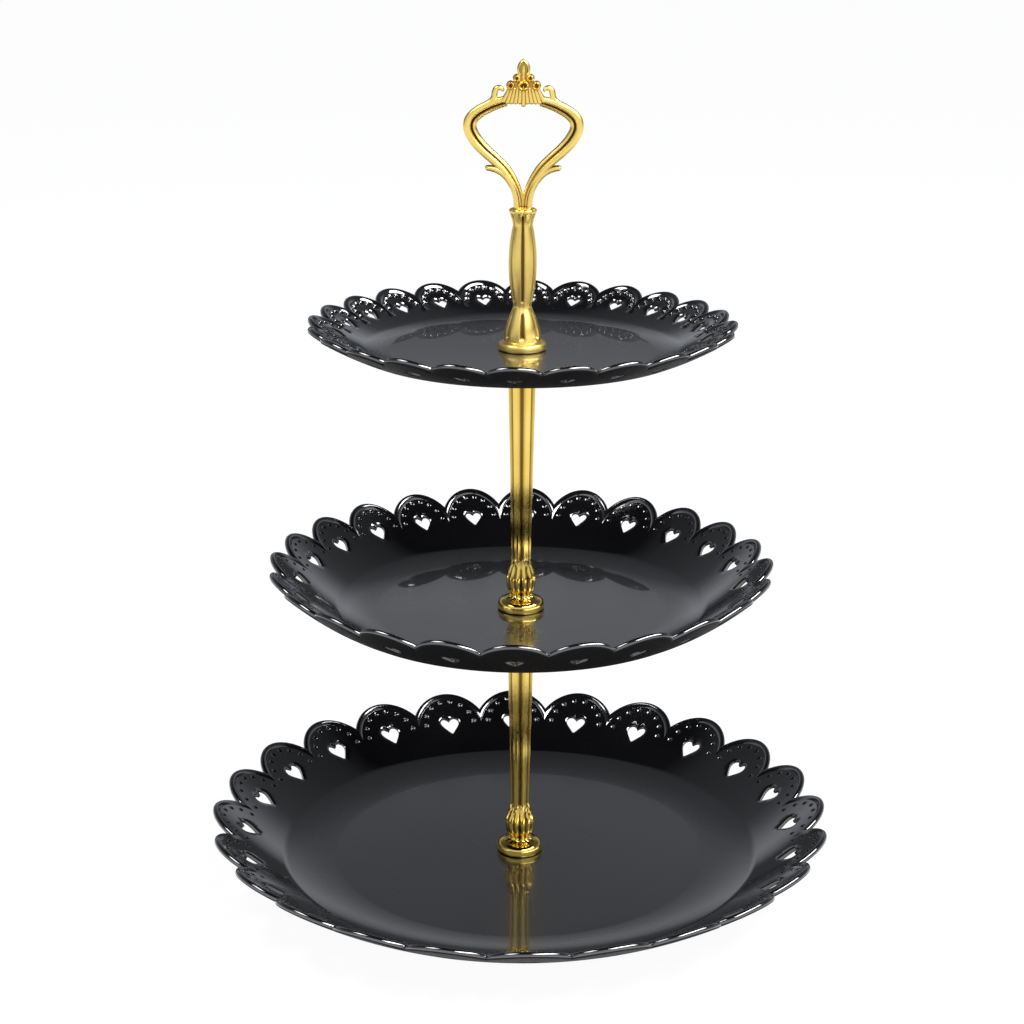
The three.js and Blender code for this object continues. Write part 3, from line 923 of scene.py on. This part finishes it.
def rod_surface(seat):
    """Rod: domed flange over its gasket, fluted neck and bulb, six-lobed shaft that widens to its top."""
    surface = Surface()
    flange(surface, [[9.8, 1.4], [9.5, 2.2], [8.8, 2.9], [7.8, 3.3], [6.9, 3.55]], seat)
    neck = [[6.9, 3.55], [6.1, 3.95], [5.4, 4.6], [4.95, 5.4], [5.05, 6.2], [5.6, 7.5], [6.15, 9.2],
            [6.4, 11.2], [6.35, 13], [5.9, 15], [5.2, 17], [4.55, 18.8], [4.25, 20.6], [4.2, 22]]

    def on_shaft(z):
        return np.clip((z - 17.5) / 3.5, 0, 1)

    def on_foot(z):
        return (1 - np.clip((z - 5) / 2, 0, 1)) * np.clip((z - 3.55) / 0.8, 0, 1)

    def cut(turn, z):
        bulb = swell(turn, 12, 0.17) * between(z, 5.6, 17.2, 2.4)
        shaft = (groove(turn, 6, 0.3, 0.2) + swell(turn, 6, 0.035)) * on_shaft(z)
        return bulb + shaft + swell(turn, 6, 0.1) * on_foot(z)

    # Painted shade: in the bulb's grooves, in the grooves under the bulb and along the shaft's grooves.
    def dark(turn, z):
        bulb = 0.8 * shadow(turn, 12, 0.07) * between(z, 6.5, 16.5, 2)
        under = 0.9 * shadow(turn, 6, 0.16) * between(z, 4.2, 11.5, 1.5)
        return np.maximum(np.maximum(bulb, under), shadow(turn, 6, 0.21) * on_shaft(z))

    fluted(surface, spline_rows(neck, 0.45), cut, dark, seat)
    shaft = spline_rows([[4.2, 22], [4.3, 28], [4.8, 0.55 * ROD_LENGTH], [5.4, 0.8 * ROD_LENGTH],
                         [5.9, ROD_LENGTH - 0.15]], 2.2)
    fluted(surface, shaft, cut, dark, seat)
    return surface


def handle_grip(surface, seat):
    """Grip: flange disc, fluted bell foot, long body, flared collar with six corners."""
    flange(surface, [[9.9, 0.9], [9.6, 1.6], [9.0, 2.1], [8.2, 2.5], [7.6, 2.8]], seat)
    line = [[7.6, 2.8], [7.55, 4], [7.35, 6], [6.85, 8.4], [6.0, 11], [4.95, 13.6], [4.05, 15.8],
            [3.8, 17], [4.1, 18.8], [4.7, 22.4], [5.3, 26.6], [5.65, 31], [5.75, 35.4], [5.6, 39.4],
            [5.25, 43],
            [4.7, 46.6], [4.2, 49.2], [4.15, 50.4], [4.5, 52.2], [5.1, 54.0], [5.6, 55.3], [5.65, 55.9],
            [5.4, 56.4], [4.6, 56.8], [3.4, 57.1], [2.2, 57.3]]

    def long(z):
        return between(z, 4.6, 13.6, 0.9) + between(z, 19.4, 53.6, 0.9)

    def cut(turn, z):
        lobes = 0.045 + 0.05 * between(z, 53.5, 56.4, 4)
        return groove(turn, 6, 0.18, 0.15) * long(z) + swell(turn, 6, 1) * lobes * np.clip(z - 2.8, 0, 1)

    # Painted shade in the grip's grooves along its long stretches.
    def dark(turn, z):
        return shadow(turn, 6, 0.13) * long(z)

    fluted(surface, spline_rows(line, 0.55), cut, dark, seat)


def sweep(surface, line, section, size=None, mirror=False, round_start=False, round_end=False,
          shade_share=None):
    """Draws a closed section of [across, depth, painted shade] along a line [x, z]. Across points to the
    line's left and depth along +Y. Round ends close the ends with a dome. shade_share is how much of the
    section's painted shade holds at each point of a line without round ends."""
    line = np.asarray(line, float)
    section = np.asarray(section, float)
    size = np.ones(len(line)) if size is None else np.asarray(size, float)
    tangent = unit(np.gradient(line, axis=0))
    stations = [(p, t, s, 0.0) for p, t, s in zip(line, tangent, size)]
    reach = np.abs(section[:, 0]).max()
    for wanted, at, sign in ((round_start, 0, -1), (round_end, -1, 1)):
        if wanted:
            p, t, s, _ = stations[at]
            dome = [(p + sign * t * reach * s * math.sin(a), t, s * math.cos(a), sign * a)
                    for a in np.linspace(0, math.pi / 2, 6)[1:]]
            stations = dome[::-1] + stations if sign < 0 else stations + dome
    edges = unit(np.roll(section[:, :2], -1, axis=0) - section[:, :2])
    outward = np.stack([edges[:, 1], -edges[:, 0]], 1)
    flip_x = -1 if mirror else 1
    for i in range(len(section)):
        j = (i + 1) % len(section)
        before, here, after = outward[i - 1], outward[i], outward[j]
        start = unit(before + here) if before @ here > 0.6 else here
        end = unit(here + after) if here @ after > 0.6 else here
        points, normals, dark = [], [], []
        for k, (p, t, s, lean) in enumerate(stations):
            left = np.array([-t[1], t[0]])
            for corner, normal in ((section[i], start), (section[j], end)):
                xz = p + left * corner[0] * s
                points.append([xz[0] * flip_x, corner[1] * s, xz[1]])
                side = left * normal[0] * math.cos(lean) + t * math.sin(lean)
                normals.append([side[0] * flip_x, normal[1] * math.cos(lean), side[1]])
                dark.append(corner[2] * (1 if shade_share is None else shade_share[k]))
        surface.add(points, unit(np.array(normals)), grid_faces(len(stations), 2, closed=False), dark)


def whole(half, wide=1.0, deep=1.0):
    """A whole section from its front half [across, depth, painted shade], turned so that it faces out."""
    half = [[a * wide, d * deep, k] for a, d, k in half]
    points = half + [[a, -d, k] for a, d, k in half[-2:0:-1]]
    area = sum(a[0] * b[1] - a[1] * b[0] for a, b in zip(points, points[1:] + points[:1]))
    return points if area > 0 else points[::-1]


# Front halves of sections, [across, depth, painted shade]. The arm has a wide outer band, a groove with
# painted shade and a narrow inner band; the strand and scroll have shade painted mostly along one side, the
# rib and wire along both.
ARM = [[-2.7, 0, 0.1], [-2.65, -1.0, 0], [-2.35, -1.8, 0], [-1.7, -2.25, 0], [-0.9, -2.35, 0],
       [-0.1, -2.15, 0], [0.35, -1.6, 0.7], [0.7, -1.0, 1], [1.0, -1.35, 0.8], [1.35, -1.75, 0.1],
       [1.95, -1.5, 0], [2.5, -0.8, 0.2], [2.7, 0, 0.3]]
STRAND = [[1.3, 0, 1], [1.25, -0.9, 1], [0.95, -1.5, 0.9], [0.5, -1.85, 0.1], [-0.4, -1.9, 0],
          [-0.95, -1.5, 0], [-1.25, -0.8, 0.1], [-1.3, 0, 0.2]]
SCROLL = [[a, d, k] for (a, d, _), k in zip(STRAND, (0.3, 0.1, 0, 0, 0, 0.1, 0.5, 0.8))]
RIB = [[1.0, 0, 0.9], [0.95, -1.5, 0.8], [0.6, -1.95, 0.1], [0, -2.2, 0], [-0.6, -1.95, 0.1],
       [-0.95, -1.5, 0.8], [-1.0, 0, 0.9]]
WIRE = [[0.5, 0, 0.3], [0.42, -0.75, 0.1], [0, -1.05, 0], [-0.42, -0.75, 0.1], [-0.5, 0, 0.3]]


def loop_surface(surface, seat):
    """Loop: two arms from the neck to the crown. Each has a strand under it that ends in a spur,
    and its outer band runs on into a scroll beside the crown."""
    arm = smooth_line([[0.9, 56.2], [1.2, 60.5], [2.2, 64.0], [4.2, 68.0], [7.3, 72.4], [11.2, 76.2],
                       [15.5, 80.0], [19.2, 84.2], [21.2, 88.4], [20.7, 91.9], [17.8, 94.8],
                       [13.5, 97.1], [9.9, 98.4], [7.0, 99.2]], 8)
    spur = smooth_line([[2.4, 56.4], [2.6, 60.2], [3.5, 63.8], [5.3, 67.2], [7.7, 70.1], [10.4, 71.9],
                        [12.6, 72.6], [14.2, 72.8]], 7)
    scroll = smooth_line([[17.2, 96.2], [14.8, 97.8], [12.7, 99.2], [11.7, 100.8], [11.45, 102.4],
                          [11.0, 103.7], [10.0, 104.35], [8.9, 104.2], [8.3, 103.6]], 7)
    arm_size = np.interp(arm[:, 1], [57, 61, 66, 72, 84, 92, 97, 99.5],
                         [0.5, 0.52, 0.66, 0.84, 1, 1, 0.9, 0.75])
    spur_size = np.interp(spur[:, 0], [2.4, 6, 12, 14.2], [1.0, 0.98, 1.0, 0.85])
    scroll_size = np.interp(np.linspace(0, 1, len(scroll)), [0, 0.6, 0.85, 1], [1.0, 0.92, 0.75, 0.55])
    # How much of the arm's painted shade holds along it, weaker low down.
    arm_shade_share = np.interp(arm[:, 1], [57, 70, 82, 90, 98, 99.5], [0.35, 0.4, 0.9, 1, 1, 1])
    for mirror in (False, True):
        sweep(surface, arm + [0, seat], whole(ARM), arm_size, mirror, shade_share=arm_shade_share)
        sweep(surface, spur + [0, seat], whole(STRAND), spur_size, mirror, round_end=True)
        sweep(surface, scroll + [0, seat], whole(SCROLL), scroll_size, mirror, round_end=True)


# The crown's backing plate: its right edge as [x, height over the seat], from the foot up.
CROWN_EDGE = [[2.4, 98.9], [5, 98.9], [7.4, 99.6], [7.0, 101.8], [6.2, 104.2], [6.1, 106.1], [4.6, 106.6],
              [3.7, 107.2], [3.5, 109.0], [2.2, 109.5], [1.7, 110.4], [2.0, 112.2], [1.3, 113.9]]
CROWN_TIP = 114.9
BACKING = 0.9


def crown_surface(surface, seat):
    """Crown: ribs that fan down from a ring-shaped boss, two pairs of volutes, a bud in a pointed arch. The
    eyes of the boss and the volutes are sheets of painted shade.
    """
    outline = [(0, 98.4 + seat)] + [(x, z + seat) for x, z in CROWN_EDGE] + [(0, CROWN_TIP + seat)]
    outline += [(-x, z + seat) for x, z in CROWN_EDGE[::-1]]
    plan, faces = triangulate([outline])
    # The backing plate is given painted shade: 0.6 on its faces, 0.2 on its walls.
    for side in (-1, 1):
        surface.add([[x, side * BACKING, z] for x, z in plan], [[0, side, 0]] * len(plan), faces,
                    [0.6] * len(plan))
    for (x0, z0), (x1, z1) in zip(outline, outline[1:] + outline[:1]):
        out = unit(np.array([z1 - z0, 0, x0 - x1]))
        wall = [[x0, -BACKING, z0], [x1, -BACKING, z1], [x1, BACKING, z1], [x0, BACKING, z0]]
        surface.add(wall, [out] * 4, [[0, 1, 2, 3]], [0.2] * 4)

    ribs = 5
    for i in range(-ribs, ribs + 1):
        foot = 8.0 * i / ribs
        drop = 97.9 if i == 0 else 98.9 + 0.5 * (abs(i) == ribs)
        start = [0.74 * foot, 104.3 - 0.08 * abs(foot)]
        bend = [0.84 * foot, 101.8]
        line = smooth_line([start, bend, [foot, drop]], 7) + [0, seat]
        size = np.linspace(0.62, 1.0, len(line))
        sweep(surface, line, whole(RIB), size, round_start=True, round_end=True)

    def curl(x, z, wide, high, thick, mirror=False):
        turn = np.linspace(0, 2 * math.pi, 25)
        line = np.stack([x + wide * np.cos(turn), z + seat + high * np.sin(turn)], 1)
        sweep(surface, line, whole(WIRE, thick, 2.3), mirror=mirror)
        side = -1 if mirror else 1
        # The eye is a flat sheet of full painted shade that fills the curl.
        eye = [[side * a, -1.1, b] for a, b in line[:-1]]
        surface.add(eye, [[0, -1, 0]] * len(eye), [[0, k, k + 1] for k in range(1, len(eye) - 1)],
                    [1.0] * len(eye))

    curl(0, 105.3, 1.75, 1.5, 1.6)
    for mirror in (False, True):
        curl(5.15, 105.3, 1.1, 1.25, 1.35, mirror)
        curl(2.7, 108.2, 1.0, 1.0, 1.3, mirror)
        arch = smooth_line([[1.4, 109.6], [1.95, 111.0], [1.85, 112.6], [1.2, 114.0], [0.1, 115.0]], 6)
        sweep(surface, arch + [0, seat], whole(WIRE, 1.3, 1.5), mirror=mirror, round_start=True,
              round_end=True)
    stem = smooth_line([[0, 107.0], [0, 108.6], [0, 110.2]], 4) + [0, seat]
    sweep(surface, stem, whole(RIB), [0.6] * len(stem), round_start=True, round_end=True)
    bud = smooth_line([[0, 110.4], [0, 111.4], [0, 112.6], [0, 113.8]], 4) + [0, seat]
    size = np.interp(np.linspace(0, 1, len(bud)), [0, 0.35, 1], [0.8, 1.0, 0.25])
    sweep(surface, bud, whole(RIB, 0.85, 0.8), size, round_start=True, round_end=True)


for name, body in (("lower_rod", "lower_column"), ("upper_rod", "upper_column")):
    place(rod_surface(level(name)), name + "_casting", GOLD, body, [name])

surface = Surface()
for build in (handle_grip, loop_surface, crown_surface):
    build(surface, level("handle"))
place(surface, "handle_casting", SATIN_GOLD, "loop_handle", ["handle"])

# ---- stage, light and camera

# In metres. The floor lies just under the foot ring, so that the two don't share a face.
FLOOR_REACH, FLOOR_LEVEL = 60, -0.0004


def floor():
    n = Nodes("floor_white")
    n.set(Base_Color=(0.08, 0.08, 0.08, 1), Roughness=0.9, Emission_Color=(1, 1, 1, 1),
          Emission_Strength=0.95)
    mesh = bpy.data.meshes.new("floor")
    corners = [(-1, -1), (1, -1), (1, 1), (-1, 1)]
    mesh.from_pydata([(FLOOR_REACH * x, FLOOR_REACH * y, 0) for x, y in corners], [], [(0, 1, 2, 3)])
    mesh.materials.append(n.material)
    piece = new_object("floor", mesh)
    piece.location.z = FLOOR_LEVEL


def surroundings():
    world = bpy.data.worlds.new("studio")
    bpy.context.scene.world = world
    world.use_nodes = True
    tree = world.node_tree
    place_in = tree.nodes.new("ShaderNodeTexCoord")
    axes = tree.nodes.new("ShaderNodeSeparateXYZ")
    tree.links.new(place_in.outputs["Generated"], axes.inputs[0])

    def by_elevation(*stops):
        """Brightness at each elevation in degrees, of a slightly cool white."""
        stops = [(math.sin(math.radians(e)), (v * 0.95, v * 0.99, v * 1.07)) for e, v in stops]
        return color_ramp(tree, axes.outputs["Z"], stops)

    behind = by_elevation((0, 0.05), (11, 0.06), (14, 0.3), (17, 0.45), (20, 0.38), (26, 0.17),
                          (29, 0.11), (50, 0.06), (56, 0.003))
    ahead = by_elevation((0, 0.75), (20, 0.8), (34, 0.9), (42, 0.4), (49, 0.005))
    side = tree.nodes.new("ShaderNodeMapRange")
    side.inputs["From Min"].default_value = -0.5
    side.inputs["From Max"].default_value = -0.1
    tree.links.new(axes.outputs["Y"], side.inputs["Value"])
    sky = mix(tree, "RGBA", side.outputs["Result"], ahead, behind)
    tree.links.new(sky, tree.nodes["Background"].inputs["Color"])


def soft_light(name, azimuth, elevation, distance, size, watts):
    data = bpy.data.lights.new(name, "AREA")
    data.shape = "RECTANGLE"
    data.size, data.size_y = size
    data.energy = watts
    lamp = new_object(name, data)
    a, e = math.radians(azimuth), math.radians(elevation)
    aim = Vector((0, 0, 0.15))
    away = Vector((math.sin(a) * math.cos(e), -math.cos(a) * math.cos(e), math.sin(e)))
    lamp.location = aim + away * distance
    lamp.rotation_mode = "QUATERNION"
    lamp.rotation_quaternion = away.to_track_quat("Z", "Y")


def camera():
    data = bpy.data.cameras.new("view")
    data.sensor_width = 36
    data.lens = 74.04
    data.shift_x, data.shift_y = -0.0092, -0.0107
    data.clip_start = 0.05
    eye = new_object("view", data)
    eye.location = (0, -0.8445, 0.4211)
    eye.rotation_mode = "QUATERNION"
    tilt = Quaternion((1, 0, 0), math.radians(90 - 16.65))
    eye.rotation_quaternion = tilt @ Quaternion((0, 0, 1), 0.0053)
    bpy.context.scene.camera = eye


floor()
surroundings()
soft_light("soft_right", 60, 54, 1.5, (1.7, 0.5), 38)
soft_light("soft_left", -74, 60, 1.5, (0.6, 0.5), 8)
camera()
bpy.context.scene.view_settings.view_transform = "Standard"
